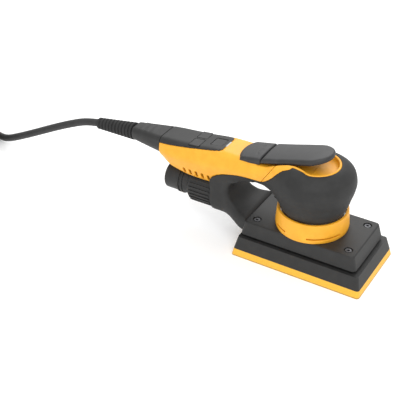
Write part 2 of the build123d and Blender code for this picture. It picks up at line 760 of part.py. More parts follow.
with BuildPart() as keypad_board:
    with BuildSketch(panel_plane.offset(-7.0)):
        Rectangle(44.0, 24.0)
    extrude(amount=1.2)
    with BuildSketch(panel_plane.offset(-5.8)):
        for _, along, across, *_ in BUTTONS:
            with Locations((along, across)):
                Circle(3.0)
    extrude(amount=0.4)
save(keypad_board, "keypad_board")

# ---------------------------------------------------------------- lever and its cover
LEVER_HALF_WIDTH = 17.5
LEVER_TIP = 16.6
MAGNET_X = -26.0
MAGNET_BOTTOM = 102.2
MAGNET_RADIUS = 2.6
MAGNET_HEIGHT = 2.6

with BuildPart() as lever_rear_cover:
    with BuildSketch(Plane.XY.offset(90.0)):
        with BuildLine():
            Line((LEVER_REAR - 0.6, LEVER_HALF_WIDTH), (COVER_REAR + 7.0, LEVER_HALF_WIDTH - 0.8))
            ThreePointArc(
                (COVER_REAR + 7.0, LEVER_HALF_WIDTH - 0.8),
                (COVER_REAR, 0.0),
                (COVER_REAR + 7.0, 0.8 - LEVER_HALF_WIDTH),
            )
            Line((COVER_REAR + 7.0, 0.8 - LEVER_HALF_WIDTH), (LEVER_REAR - 0.6, -LEVER_HALF_WIDTH))
            Line((LEVER_REAR - 0.6, -LEVER_HALF_WIDTH), (LEVER_REAR - 0.6, LEVER_HALF_WIDTH))
        make_face()
    extrude(amount=20.0)
    add(
        side_block(
            [(-80.0, 88.0), (-80.0, 95.8), (-62.0, 98.9), (-48.0, 101.6), (-48.0, 88.0)], 30.0
        ),
        mode=Mode.INTERSECT,
    )
    add(outer_body, mode=Mode.SUBTRACT)
    with BuildSketch(Plane.XZ):
        with Locations((-52.2, PIVOT[1])):
            Rectangle(9.6, 5.2)
    extrude(amount=9.0, both=True, mode=Mode.SUBTRACT)
    with BuildSketch(Plane.XZ):
        with Locations(PIVOT):
            Circle(PIN_RADIUS)
    extrude(amount=13.0, both=True, mode=Mode.SUBTRACT)
save(lever_rear_cover, "lever_rear_cover")

with BuildPart() as lever:
    with BuildSketch(Plane.XY.offset(90.0)):
        with BuildLine():
            Line((LEVER_REAR, LEVER_HALF_WIDTH), (-10.0, 17.6))
            Spline(
                (-10.0, 17.6),
                (3.0, 17.0),
                (13.0, 10.4),
                (LEVER_TIP, 0.0),
                (13.0, -10.4),
                (3.0, -17.0),
                (-10.0, -17.6),
                tangents=((1.0, 0.02), (-1.0, 0.02)),
            )
            Line((-10.0, -17.6), (LEVER_REAR, -LEVER_HALF_WIDTH))
            Line((LEVER_REAR, -LEVER_HALF_WIDTH), (LEVER_REAR, LEVER_HALF_WIDTH))
        make_face()
    extrude(amount=40.0)
    with BuildSketch(Plane.XZ):
        with BuildLine():
            Spline((LEVER_REAR, 101.6), (-30.0, 106.4), (-8.0, 112.6), (8.0, 116.4), (20.0, 117.6))
            Line((20.0, 117.6), (20.0, 113.6))
            Spline((20.0, 113.6), (4.0, 109.4), (-12.0, 105.2), (-30.0, 100.6), (LEVER_REAR, 96.0))
            Line((LEVER_REAR, 96.0), (LEVER_REAR, 101.6))
        make_face()
    extrude(amount=30.0, both=True, mode=Mode.INTERSECT)
    with BuildSketch(Plane.XZ):
        with BuildLine():
            Polyline(
                (LEVER_REAR + 3.0, 98.9),
                (PIVOT[0], PIVOT[1] + EAR_RADIUS),
                (PIVOT[0], PIVOT[1] - EAR_RADIUS),
                (LEVER_REAR + 3.0, PIVOT[1] + 0.4),
                close=True,
            )
        make_face()
        with Locations(PIVOT):
            Circle(EAR_RADIUS)
    extrude(amount=8.0, both=True)
    with BuildSketch(Plane.XZ):
        with Locations(PIVOT):
            Circle(PIN_RADIUS + RUNNING_FIT)
    extrude(amount=9.0, both=True, mode=Mode.SUBTRACT)
    with Locations((MAGNET_X, 0.0, MAGNET_BOTTOM - 1.2)):
        Cylinder(MAGNET_RADIUS, MAGNET_HEIGHT + 1.2, align=ON_BASE, mode=Mode.SUBTRACT)
save(lever, "lever")

with BuildPart() as lever_pin:
    with BuildSketch(Plane.XZ):
        with Locations(PIVOT):
            Circle(PIN_RADIUS)
    extrude(amount=13.0, both=True)
save(lever_pin, "lever_pin")

with BuildPart() as lever_magnet:
    with Locations((MAGNET_X, 0.0, MAGNET_BOTTOM)):
        Cylinder(MAGNET_RADIUS, MAGNET_HEIGHT, align=ON_BASE)
save(lever_magnet, "lever_magnet")

SPRING_TOP = 96.2
SPRING_COIL_RADIUS = 2.6
with BuildPart() as lever_spring:
    with BuildLine() as wire_path:
        Helix(
            pitch=(SPRING_TOP - SPRING_SEAT - 0.8) / 4,
            height=SPRING_TOP - SPRING_SEAT - 0.8,
            radius=SPRING_COIL_RADIUS,
            center=(SPRING_X, 0.0, SPRING_SEAT + 0.4),
        )
    with BuildSketch(Plane(origin=wire_path.line @ 0, z_dir=wire_path.line % 0)):
        Circle(0.4)
    sweep()
save(lever_spring, "lever_spring")

with BuildPart() as speed_sensor_board:
    with Locations((-24.0, 0.0, 90.5)):
        Box(16.0, 14.0, 1.2)
    with Locations((-26.0, 0.0, 91.6)):
        Box(3.0, 4.0, 1.0)
save(speed_sensor_board, "speed_sensor_board")

# ---------------------------------------------------------------- dust duct
DUCT_FRONT = -58.6
DUCT_REAR = -84.0  # the flat duct runs from here to the shroud
DUCT_WIDTH = 56.0
CHAMBER_FRONT = -76.0
CHAMBER_SIZE = (32.0, 11.0)
CHAMBER_HEIGHT = 31.4
# Side views of the material taken away under the duct, and of the finger opening
DUCT_UNDERSIDE = [
    (-110.0, 10.0),
    (-50.0, 10.0),
    (-50.0, SHROUD_BOTTOM),
    (DUCT_FRONT, SHROUD_BOTTOM),
    (DUCT_REAR, 21.2),
    (-110.0, 19.0),
]
FINGER_OPENING = [
    (-79.0, 45.0),
    (-69.0, 39.0),
    (-50.0, 37.6),
    (-50.0, 74.0),
    (-72.0, 70.0),
    (-80.5, 58.0),
]

SEAL_REAR = -96.0
SEAL_LENGTH = 2.0
SEAL_RADIUS = 16.0
seal_groove = hose_cylinder(SEAL_RADIUS, SEAL_REAR, SEAL_REAR + SEAL_LENGTH)

with BuildPart() as dust_duct:
    # Collar round the hose axis, as wide as the handle
    with BuildSketch(Plane.YZ.offset(COLLAR_REAR)):
        with Locations((0.0, HOSE_HEIGHT)):
            Circle(COLLAR_RADIUS)
        with Locations((0.0, (HOSE_HEIGHT + HOUSING_SPLIT) / 2)):
            Rectangle(2 * COLLAR_RADIUS, HOUSING_SPLIT - HOSE_HEIGHT)
    extrude(amount=26.0)
    # Flat duct that widens towards the shroud
    with BuildSketch(Plane.YZ.offset(DUCT_REAR)):
        with Locations((0.0, 33.5)):
            RectangleRounded(2 * COLLAR_RADIUS, 16.0, 4.0)
    with BuildSketch(Plane.YZ.offset(DUCT_FRONT)):
        with Locations((0.0, 30.3)):
            RectangleRounded(DUCT_WIDTH, 15.4, 3.0)
    loft(ruled=True)
    # Finger opening
    with BuildSketch(Plane.XZ):
        with BuildLine():
            FilletPolyline(*FINGER_OPENING, radius=(8.0, 14.0, 0.2, 0.2, 8.0, 10.0), close=True)
        make_face()
    extrude(amount=40.0, both=True, mode=Mode.SUBTRACT)
    # Underside slopes up towards the rear
    add(side_block(DUCT_UNDERSIDE, 40.0), mode=Mode.SUBTRACT)
    # Bore for the hose connector, then the air way to the shroud
    add(hose_cylinder(COLLAR_BORE, COLLAR_REAR - 1.0, HOSE_INNER_END + 0.4), mode=Mode.SUBTRACT)
    with BuildSketch(Plane.YZ.offset(HOSE_INNER_END)):
        with Locations((0.0, HOSE_HEIGHT - 4.0)):
            RectangleRounded(22.0, 16.0, 4.0)
    with BuildSketch(Plane.YZ.offset(CHAMBER_FRONT)):
        with Locations((0.0, CHAMBER_HEIGHT)):
            RectangleRounded(*CHAMBER_SIZE, 3.0)
    loft(ruled=True, mode=Mode.SUBTRACT)
    with BuildSketch(Plane.YZ.offset(CHAMBER_FRONT)):
        with Locations((0.0, CHAMBER_HEIGHT)):
            RectangleRounded(*CHAMBER_SIZE, 3.0)
    with BuildSketch(Plane.YZ.offset(DUCT_FRONT)):
        with Locations((0.0, PORT_HEIGHT)):
            RectangleRounded(*PORT_SIZE, PORT_CORNER)
    loft(ruled=True, mode=Mode.SUBTRACT)
    add(outer_dome, mode=Mode.SUBTRACT)
    add(dust_shroud.part, mode=Mode.SUBTRACT)
    add(seal_groove, mode=Mode.SUBTRACT)
save(dust_duct, "dust_duct")

with BuildPart() as hose_connector:
    with BuildSketch(Plane.XZ):
        with BuildLine():
            FilletPolyline(
                (HOSE_MOUTH, HOSE_HEIGHT + HOSE_BORE),
                (HOSE_MOUTH, HOSE_HEIGHT + HOSE_RADIUS),
                (HOSE_INNER_END, HOSE_HEIGHT + HOSE_RADIUS),
                (HOSE_INNER_END, HOSE_HEIGHT + HOSE_BORE),
                radius=(0.6, 1.2, 0.4, 0.4),
                close=True,
            )
        make_face()
        for x in (-142.0, -138.0):
            with Locations((x, HOSE_HEIGHT + HOSE_RADIUS + 0.2)):
                Rectangle(1.4, 1.6)
    revolve(axis=Axis((0.0, 0.0, HOSE_HEIGHT), (1.0, 0.0, 0.0)))
save(hose_connector, "hose_connector")

LOCK_RING = (-130.0, COLLAR_REAR - 0.3)
LOCK_RING_RADIUS = 18.0
with BuildPart() as lock_ring:
    add(hose_cylinder(LOCK_RING_RADIUS, *LOCK_RING))
    chamfer(lock_ring.faces().sort_by(Axis.X)[0].edges(), 2.2)
    add(hose_cylinder(HOSE_RADIUS + 0.3, LOCK_RING[0] - 1.0, LOCK_RING[1] + 1.0), mode=Mode.SUBTRACT)
    with BuildSketch(Plane.YZ.offset(LOCK_RING[0] + 3.4)):
        with Locations((0.0, HOSE_HEIGHT)):
            with PolarLocations(LOCK_RING_RADIUS, 28):
                Rectangle(2.0, 1.7)
    extrude(amount=LOCK_RING[1] - LOCK_RING[0] - 4.6)
save(lock_ring, "lock_ring")

with BuildPart() as hose_seal:
    add(seal_groove)
    add(
        hose_cylinder(HOSE_RADIUS + RUNNING_FIT, SEAL_REAR - 1.0, SEAL_REAR + SEAL_LENGTH + 1.0),
        mode=Mode.SUBTRACT,
    )
save(hose_seal, "hose_seal")

with BuildPart() as duct_seal:
    with BuildSketch(Plane.YZ.offset(DUCT_FRONT)):
        with Locations((0.0, PORT_HEIGHT)):
            RectangleRounded(PORT_SIZE[0] + 6.0, PORT_SIZE[1] + 4.0, PORT_CORNER + 1.0)
            RectangleRounded(*PORT_SIZE, PORT_CORNER, mode=Mode.SUBTRACT)
    extrude(amount=1.0)
    add(dust_shroud.part, mode=Mode.SUBTRACT)
save(duct_seal, "duct_seal")

# ---------------------------------------------------------------- inside the handle
BOARD_BOTTOM = 78.4

with BuildPart() as electronics_tray:
    with BuildSketch(Plane.XY.offset(TRAY_BOTTOM)):
        with Locations((-123.0, 0.0)):
            Rectangle(44.0, 26.0)
    extrude(amount=1.6)
    with BuildSketch(Plane.XY.offset(TRAY_BOTTOM)):
        with Locations(*SCREW_SPOTS, (-104.0, 0.0)):
            Circle(3.2)
    extrude(amount=BOARD_BOTTOM - TRAY_BOTTOM)
    with BuildSketch(Plane.XY.offset(TRAY_BOTTOM)):
        with Locations(*SCREW_SPOTS):
            Circle(1.5)
    extrude(amount=8.0, mode=Mode.SUBTRACT)
save(electronics_tray, "electronics_tray")

with BuildPart() as circuit_board:
    with Locations((-121.0, 0.0, BOARD_BOTTOM + 0.8)):
        Box(50.0, 28.0, 1.6)
save(circuit_board, "circuit_board")

with BuildPart() as heat_sink:
    with Locations((-122.0, 0.0, 77.6)):
        Box(20.0, 20.0, 1.6)
    with Locations((-122.0, 0.0, 76.8)):
        with GridLocations(3.2, 0.0, 6, 1):
            Box(1.2, 20.0, 7.0, align=(Align.CENTER, Align.CENTER, Align.MAX))
save(heat_sink, "heat_sink")

with BuildPart() as capacitors:
    with BuildSketch(Plane.YZ.offset(-160.0)):
        with Locations((-6.4, 73.6), (6.4, 73.6)):
            Circle(5.0)
    extrude(amount=13.0)
save(capacitors, "capacitors")

# ---------------------------------------------------------------- rear cap, strain relief and lead
CAP_STATIONS = [
    (HANDLE_REAR - 0.3, 88.5, 14.4, 76.0, 16.0, 64.8, 8.5),
    (-180.0, 86.9, 11.8, 76.6, 13.0, 66.8, 7.8),
    (RELIEF_START[0] + 1.0, 85.3, 8.8, 77.2, 10.0, 69.2, 7.2),
]

with BuildPart() as rear_cap:
    loft([handle_section(station, 0.0) for station in CAP_STATIONS])
    with Locations(*[(x, 0.0, 86.6 + 0.085 * (x + 182.0)) for x in (-189.0, -182.0, -175.0)]):
        Box(2.6, 15.0, 1.6)
save(rear_cap, "rear_cap")

relief_run = Vector(RELIEF_TIP[0] - RELIEF_START[0], 0.0, RELIEF_TIP[1] - RELIEF_START[1])
across = Vector(0.0, 1.0, 0.0)
rib_plane = Plane(
    origin=(RELIEF_START[0], 0.0, RELIEF_START[1]),
    x_dir=across,
    z_dir=across.cross(relief_run),
)
RELIEF_RIBS = 11


def rib_profile():
    """Half outline of the strain relief, along its axis: ribs that shrink towards the tip."""
    pitch = relief_run.length / RELIEF_RIBS
    outline = [(0.0, 0.0)]
    for index in range(RELIEF_RIBS):
        radius = 8.9 - 2.9 * index / (RELIEF_RIBS - 1)
        start = index * pitch
        outline.append((radius, start + 0.1 * pitch))
        outline.append((radius, start + 0.6 * pitch))
        outline.append((radius - 1.3, start + 0.7 * pitch))
        outline.append((radius - 1.3, start + pitch))
    outline.append((0.0, relief_run.length))
    return outline


with BuildPart() as strain_relief:
    with BuildSketch(rib_plane):
        with BuildLine():
            Polyline(*rib_profile(), close=True)
        make_face()
    revolve(axis=Axis(rib_plane.origin, relief_run))
save(strain_relief, "strain_relief")

# Hand-laid route of the lead from the strain relief down to the floor and into the coil
CORD_ROUTE = [
    (-247.0, 0.0, 73.0),
    (-262.0, 0.0, 70.8),
    (-284.0, 0.2, 61.6),
    (-309.0, 0.2, 49.6),
    (-337.0, 0.0, 35.2),
    (-364.0, 0.4, 21.6),
    (-388.0, 4.0, 9.8),
    (-410.6, 12.6, 4.5),
    (-433.8, 22.8, 4.0),
]
# From the coil's top turn up to the plug, which lies across the coil
TAIL_ROUTE = [
    (-510.4, -14.4, 28.2),
    (-514.5, -33.6, 29.8),
    (-509.7, -52.6, 33.0),
    (-497.1, -67.6, 37.2),
    (-479.2, -75.6, 40.8),
    (-459.6, -75.6, 42.5),
]


def corner_radii(points):
    """The largest arc that each corner of a route has room for."""
    radii = []
    for before, corner, after in zip(points, points[1:], points[2:]):
        arriving = Vector(*corner) - Vector(*before)
        leaving = Vector(*after) - Vector(*corner)
        turn = radians(arriving.get_angle(leaving))
        radii.append(0.45 * min(arriving.length, leaving.length) / tan(turn / 2))
    return radii


def cord_tube(points):
    """A round tube along a hand-laid route."""
    radii = corner_radii(points)
    print("cord arcs", [round(r) for r in radii])
    with BuildPart() as tube:
        with BuildLine() as path:
            FilletPolyline(*points, radius=radii)
        with BuildSketch(Plane(origin=path.line @ 0, z_dir=path.line % 0)):
            Circle(CORD_DIAMETER / 2)
        sweep()
    expected = pi * (CORD_DIAMETER / 2) ** 2 * path.wires()[0].length
    print("cord volume against section times length", round(tube.part.volume / expected, 4))
    return tube.part


with BuildPart() as power_cord:
    add(cord_tube(CORD_ROUTE))
    add(cord_tube(TAIL_ROUTE))
save(power_cord, "power_cord")

with BuildPart() as cord_coil:
    with BuildSketch(Plane.XY):
        with Locations(COIL_CENTRE):
            Circle(COIL_OUTER)
            Circle(COIL_INNER, mode=Mode.SUBTRACT)
    extrude(amount=COIL_HEIGHT)
    fillet(cord_coil.edges().filter_by(GeomType.CIRCLE), 3.0)
save(cord_coil, "cord_coil")

PLUG_START = (TAIL_ROUTE[-1][0], TAIL_ROUTE[-1][1], TAIL_ROUTE[-1][2])
PLUG_LENGTH = 46.0
plug_plane = Plane(origin=PLUG_START, x_dir=(0.0, 1.0, 0.0), z_dir=(1.0, 0.0, 0.0))

with BuildPart() as plug_body:
    with BuildSketch(plug_plane):
        RectangleRounded(10.0, 10.0, 4.0)
    with BuildSketch(plug_plane.offset(PLUG_LENGTH * 0.45)):
        RectangleRounded(24.0, 17.0, 6.0)
    with BuildSketch(plug_plane.offset(PLUG_LENGTH)):
        RectangleRounded(34.0, 18.0, 8.0)
    loft()
save(plug_body, "plug_body")

with BuildPart() as plug_pins:
    with BuildSketch(plug_plane.offset(PLUG_LENGTH)):
        with Locations((-9.3, 0.0), (9.3, 0.0)):
            Circle(2.4)
    extrude(amount=19.0)
save(plug_pins, "plug_pins")

# ---------------------------------------------------------------- casing screws
with BuildPart() as handle_screws:
    with Locations(*SCREW_SPOTS):
        with Locations((0.0, 0.0, 58.4)):
            Cylinder(2.8, 1.6, align=ON_BASE)
            Cylinder(1.5, 12.0, align=ON_BASE)
save(handle_screws, "handle_screws")
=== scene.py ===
"""Looks of the detail mouse sander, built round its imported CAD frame.

Shapes are worked out in millimetres, in the CAD's frame, and become metres when a mesh is made:
the origin is where the motor's axis meets the sanding face, +X runs to the nose and +Z is up.
"""

import bpy
import json
from math import cos, hypot, pi, radians, sin
import numpy as np
from mathutils import Matrix, Vector


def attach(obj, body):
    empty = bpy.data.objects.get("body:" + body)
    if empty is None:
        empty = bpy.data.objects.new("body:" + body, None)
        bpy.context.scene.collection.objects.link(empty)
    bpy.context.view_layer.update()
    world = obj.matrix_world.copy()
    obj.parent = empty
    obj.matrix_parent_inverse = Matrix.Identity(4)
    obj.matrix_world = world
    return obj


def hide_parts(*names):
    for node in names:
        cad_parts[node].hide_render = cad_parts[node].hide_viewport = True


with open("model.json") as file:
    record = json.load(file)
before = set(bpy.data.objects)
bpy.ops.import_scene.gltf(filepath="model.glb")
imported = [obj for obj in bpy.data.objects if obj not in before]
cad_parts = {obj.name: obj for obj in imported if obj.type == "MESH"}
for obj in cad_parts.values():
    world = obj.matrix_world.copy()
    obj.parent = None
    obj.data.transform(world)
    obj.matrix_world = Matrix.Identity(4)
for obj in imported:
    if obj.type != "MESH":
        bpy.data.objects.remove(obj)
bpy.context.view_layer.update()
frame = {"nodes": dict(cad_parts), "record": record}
MM = 0.001

# ---------------------------------------------------------------- driving dimensions, in line with the CAD
WALL = 2.5
SEAM = 0.12  # half of the gap between two shells
BOWL_RADIUS = 20.8
BOWL_RIM_RADIUS = 23.2
BOWL_FLOOR = 98.0
BOWL_RIM = 103.3
RING_TOP = 56.0
HANDLE_REAR = -161.0
PANEL_FRONT = -88.5
COLLAR_REAR = -101.5
HOSE_HEIGHT = 40.5
COLLAR_BORE = 14.3
RING_SPACE = 20.0  # radius of the room in the handle for the lock ring
RING_SPACE_REAR = -134.0
HOSE_END = -88.0
LEVER_REAR = -48.0
LEVER_HALF = 17.5
LEVER_CROWN = 1.3  # how much lower the lever's sides are than its middle
CAP_FRONT = -161.3
CAP_REAR = -199.0
PIVOT = (-54.0, 96.4)
PIVOT_RADIUS = 1.1
SHARP_ANGLE = 35.0
CORD_DIAMETER = 8.0
COIL_CENTRE = (-457.5, -28.0)

# Neck and handle, station by station: X, top, half width at the top, height and half width of the
# crease, bottom, half width at the bottom
STATIONS = [
    (-161.0, 88.6, 14.6, 74.5, 17.5, 63.5, 9.5),
    (-148.0, 89.6, 15.2, 75.5, 21.0, 56.5, 13.0),
    (-122.0, 91.6, 15.6, 78.0, 22.6, 54.0, 15.5),
    (-88.0, 95.0, 16.2, 80.5, 22.6, 55.5, 16.0),
    (-62.0, 94.6, 17.4, 82.0, 23.4, 70.0, 15.5),
    (-40.0, 97.2, 19.6, 84.0, 26.0, 70.5, 18.0),
    (-18.0, 102.4, 21.6, 86.0, 30.0, 70.5, 21.0),
]
CAP_STATIONS = [
    (-161.3, 88.5, 14.4, 76.0, 16.0, 64.8, 8.5),
    (-180.0, 86.9, 11.8, 76.6, 13.0, 66.8, 7.8),
    (-199.0, 85.3, 8.8, 77.2, 10.0, 69.2, 7.2),
]
# Dome over the motor: radius and height of its outline
DOME_MIDDLE = 78.0
DOME_OUTLINE = [
    (29.4, 54.0),
    (32.4, 62.0),
    (34.9, 70.0),
    (37.3, 78.0),
    (38.4, 86.5),
    (36.6, 94.0),
    (31.4, 99.3),
    (BOWL_RIM_RADIUS, BOWL_RIM),
]
# Side views, as X and Z
COLOUR_LINE = [
    (-14.0, 104.0),
    (-23.0, 99.5),
    (-34.0, 87.5),
    (-43.0, 80.3),
    (-53.0, 79.2),
    (-71.0, 77.5),
    (-86.0, 73.6),
    (-96.0, 68.0),
    (COLLAR_REAR, 62.0),
]
FINGER_OPENING = [(-57.0, 37.8), (-69.0, 39.4), (-77.6, 46.0), (-80.2, 56.0), (-76.5, 64.5), (-67.0, 69.6)]
SHELL_JOINT = ((-28.2, 105.0), (-46.0, 77.4))


# ---------------------------------------------------------------- fields: distance-like functions
def smooth_max(a, b, radius):
    """The larger of two fields, with the edge between them rounded."""
    blend = np.maximum(radius - np.abs(a - b), 0.0)
    return np.maximum(a, b) + blend * blend / (4 * radius)


def smooth_min(a, b, radius):
    """The smaller of two fields, with the corner between them filled."""
    return -smooth_max(-a, -b, radius)


def curve_through(points):
    """A smooth function through (t, value) points that doesn't overshoot them."""
    t, value = np.array(sorted(points), float).T
    step = np.diff(t)
    slope = np.diff(value) / step
    tangent = np.zeros(len(t))
    before, after = slope[:-1], slope[1:]
    same = before * after > 0
    tangent[1:-1][same] = 2 * before[same] * after[same] / (before[same] + after[same])
    tangent[0], tangent[-1] = slope[0], slope[-1]

    def at(x):
        x = np.clip(x, t[0], t[-1])
        i = np.clip(np.searchsorted(t, x, side="right") - 1, 0, len(step) - 1)
        u = (x - t[i]) / step[i]
        rest = 1 - u
        return (
            value[i] * rest * rest * (1 + 2 * u)
            + value[i + 1] * u * u * (3 - 2 * u)
            + step[i] * u * rest * (tangent[i] * rest - tangent[i + 1] * u)
        )

    return at


def smooth_line(points, steps=5):
    """A Catmull-Rom curve through points in a plane, as a longer list of points."""
    p = np.array(points, float)
    p = np.vstack([2 * p[0] - p[1], p, 2 * p[-1] - p[-2]])
    line = []
    for a, b, c, d in zip(p, p[1:], p[2:], p[3:]):
        for u in np.arange(steps) / steps:
            square = (2 * a - 5 * b + 4 * c - d) * u**2
            line.append((2 * b + (c - a) * u + square + (3 * b - a - 3 * c + d) * u**3) / 2)
    line.append(p[-2])
    return [tuple(point) for point in line]


def outline(points):
    """A field in a plane: the distance to a closed outline, negative inside it."""
    corners = np.array(points, float)
    runs = np.roll(corners, -1, axis=0) - corners

    def distance(u, v):
        u, v = np.broadcast_arrays(u, v)
        nearest = np.full(u.shape, np.inf)
        inside = np.zeros(u.shape, bool)
        for (pu, pv), (ru, rv) in zip(corners, runs):
            du, dv = u - pu, v - pv
            along = np.clip((du * ru + dv * rv) / (ru * ru + rv * rv), 0, 1)
            nearest = np.minimum(nearest, (du - along * ru) ** 2 + (dv - along * rv) ** 2)
            if rv:
                inside ^= ((dv < 0) != (dv < rv)) & (du < dv * ru / rv)
        return np.where(inside, -1, 1) * np.sqrt(nearest)

    return distance


def box_field(x, y, z, low, high, radius):
    """A block with rounded edges."""
    middle = [(a + b) / 2 for a, b in zip(low, high)]
    half = [(b - a) / 2 for a, b in zip(low, high)]
    sides = [np.abs(v - m) - h for v, m, h in zip((x, y, z), middle, half)]
    return smooth_max(smooth_max(sides[0], sides[1], radius), sides[2], radius)


def hollow(solid, wall=WALL):
    """A shell just inside a solid's surface."""
    return np.maximum(solid, -(solid + wall))


# ---------------------------------------------------------------- from a field to a mesh
def contour(field, low, high, step):
    """The field's zero surface as quads: one vertex in each cell that it crosses, placed so that
    sharp edges stay sharp (dual contouring)."""
    axes = [np.arange(a - 2 * step, b + 3 * step, step) for a, b in zip(low, high)]
    size = [len(axis) for axis in axes]
    spots = axes[0][:, None, None], axes[1][None, :, None], axes[2][None, None, :]
    grid = np.broadcast_to(field(*spots), size)
    inside = grid < 0
    stride = np.array([size[1] * size[2], size[2], 1])
    points, cells, quads = [], [], []
    for axis in range(3):
        first, second = (axis + 1) % 3, (axis + 2) % 3
        start = [slice(None)] * 3
        end = [slice(None)] * 3
        start[axis], end[axis] = slice(0, -1), slice(1, None)
        start, end = tuple(start), tuple(end)
        crossing = np.argwhere(inside[start] != inside[end])
        index = tuple(crossing.T)
        a, b = grid[start][index], grid[end][index]
        point = np.stack([axes[k][crossing[:, k]] for k in range(3)], axis=1)
        point[:, axis] += step * a / (a - b)
        around = []
        for back_first, back_second in ((1, 1), (0, 1), (0, 0), (1, 0)):
            corner = crossing.copy()
            corner[:, first] -= back_first
            corner[:, second] -= back_second
            around.append(corner @ stride)
        around = np.stack(around, axis=1)
        outward = inside[start][index]
        quads.append(np.where(outward[:, None], around, around[:, ::-1]))
        points.append(point)
        cells.append(around)
    point = np.concatenate(points)
    nudge = 0.02 * step
    normal = np.zeros_like(point)
    for k in range(3):
        shift = np.zeros(3)
        shift[k] = nudge
        ahead, behind = (point + shift).T, (point - shift).T
        normal[:, k] = field(*ahead) - field(*behind)
    normal /= np.maximum(np.linalg.norm(normal, axis=1, keepdims=True), 1e-9)
    cell = np.concatenate(cells)
    used, vertex = np.unique(cell, return_inverse=True)
    vertex = vertex.reshape(cell.shape)
    owner = vertex.ravel()
    point, normal = np.repeat(point, 4, axis=0), np.repeat(normal, 4, axis=0)
    count = np.bincount(owner, minlength=len(used))

    def summed(value):
        return np.bincount(owner, weights=value, minlength=len(used))

    mass = np.stack([summed(point[:, k]) / count for k in range(3)], axis=1)
    reach = np.einsum("ij,ij->i", normal, point - mass[owner])
    matrix = np.zeros((len(used), 3, 3))
    target = np.zeros((len(used), 3, 1))
    for i in range(3):
        target[:, i, 0] = summed(normal[:, i] * reach)
        for j in range(3):
            matrix[:, i, j] = summed(normal[:, i] * normal[:, j])
        matrix[:, i, i] += 0.08 * count
    move = np.linalg.solve(matrix, target)[:, :, 0]
    corner = np.stack([used // stride[0], used % stride[0] // stride[1], used % stride[1]], axis=1)
    origin = np.array([axis[0] for axis in axes]) + corner * step
    vertices = np.clip(mass + move, origin, origin + step)
    return vertices, np.searchsorted(used, np.concatenate(quads))


def mesh_piece(name, vertices, faces, material):
    """A mesh object from millimetre vertices, smooth but for its sharp edges."""
    mesh = bpy.data.meshes.new(name)
    mesh.from_pydata([tuple(v) for v in np.asarray(vertices) * MM], [], [list(map(int, f)) for f in faces])
    mesh.validate()
    mesh.polygons.foreach_set("use_smooth", [True] * len(mesh.polygons))
    mesh.set_sharp_from_angle(angle=radians(SHARP_ANGLE))
    mesh.materials.append(material)
    piece = bpy.data.objects.new(name, mesh)
    bpy.context.scene.collection.objects.link(piece)
    return piece


def field_piece(name, field, low, high, step, material):
    return mesh_piece(name, *contour(field, low, high, step), material)


# ---------------------------------------------------------------- materials
class Paint:
    """A node material being put together round its Principled shader."""

    def __init__(self, name):
        self.material = bpy.data.materials.new(name)
        self.material.use_nodes = True
        self.tree = self.material.node_tree
        self.shader = self.tree.nodes["Principled BSDF"]
        self.place = self.tree.nodes.new("ShaderNodeTexCoord").outputs["Object"]

    def node(self, kind, inputs=None, **settings):
        made = self.tree.nodes.new(kind)
        for key, value in settings.items():
            setattr(made, key, value)
        for key, value in (inputs or {}).items():
            if isinstance(value, bpy.types.NodeSocket):
                self.tree.links.new(value, made.inputs[key])
            else:
                made.inputs[key].default_value = value
        return made

    def noise(self, size, detail=3.0, roughness=0.55, stretch=None):
        """Noise whose features are about this many millimetres across."""
        place = self.place
        if stretch:
            place = self.node("ShaderNodeMapping", {"Vector": place, "Scale": stretch}).outputs[0]
        inputs = {"Vector": place, "Scale": 1 / (size * MM), "Detail": detail, "Roughness": roughness}
        return self.node("ShaderNodeTexNoise", inputs).outputs["Fac"]

    def ramp(self, value, stops):
        made = self.node("ShaderNodeValToRGB", {"Fac": value})
        elements = made.color_ramp.elements
        while len(elements) < len(stops):
            elements.new(0.5)
        for element, (place, colour) in zip(elements, stops):
            element.position = place
            element.color = (*colour, 1.0)
        return made.outputs["Color"]

    def spread(self, value, low, high):
        inputs = {"Value": value, "From Min": 0.3, "From Max": 0.7, "To Min": low, "To Max": high}
        return self.node("ShaderNodeMapRange", inputs).outputs["Result"]

    def add(self, a, b, share):
        """The first value plus a share of the second."""
        return self.node("ShaderNodeMath", {0: b, 1: share, 2: a}, operation="MULTIPLY_ADD").outputs[0]

    def bump(self, height, depth):
        """Bump of this depth in millimetres."""
        made = self.node("ShaderNodeBump", {"Height": height, "Strength": 1.0, "Distance": depth * MM})
        self.tree.links.new(made.outputs["Normal"], self.shader.inputs["Normal"])

    def to(self, socket, value):
        if isinstance(value, bpy.types.NodeSocket):
            self.tree.links.new(value, self.shader.inputs[socket])
        else:
            self.shader.inputs[socket].default_value = value


def moulded(name, dark, light, roughness, grain=0.35, depth=0.02, specular=0.5, sheen=0.0):
    """Moulded plastic or rubber: spark-eroded grain, faint flow mottling and uneven gloss."""
    paint = Paint(name)
    cloud = paint.noise(9.0, 2.0)
    fine = paint.noise(grain, 2.0, 0.6)
    paint.to("Base Color", paint.ramp(paint.add(cloud, fine, 0.25), [(0.35, dark), (0.85, light)]))
    paint.to("Roughness", paint.spread(paint.add(fine, cloud, 0.5), roughness - 0.06, roughness + 0.07))
    paint.to("Specular IOR Level", specular)
    paint.to("Sheen Weight", sheen)
    paint.bump(fine, depth)
    return paint.material


def metal(name, dark, light, roughness, stretch=(1.0, 1.0, 0.06), depth=0.006):
    """Machined or rolled metal with faint tool marks."""
    paint = Paint(name)
    marks = paint.noise(0.5, 3.0, 0.6, stretch)
    cloud = paint.noise(5.0)
    paint.to("Base Color", paint.ramp(paint.add(cloud, marks, 0.3), [(0.3, dark), (0.9, light)]))
    paint.to("Metallic", 1.0)
    paint.to("Roughness", paint.spread(marks, roughness - 0.06, roughness + 0.1))
    paint.bump(marks, depth)
    return paint.material


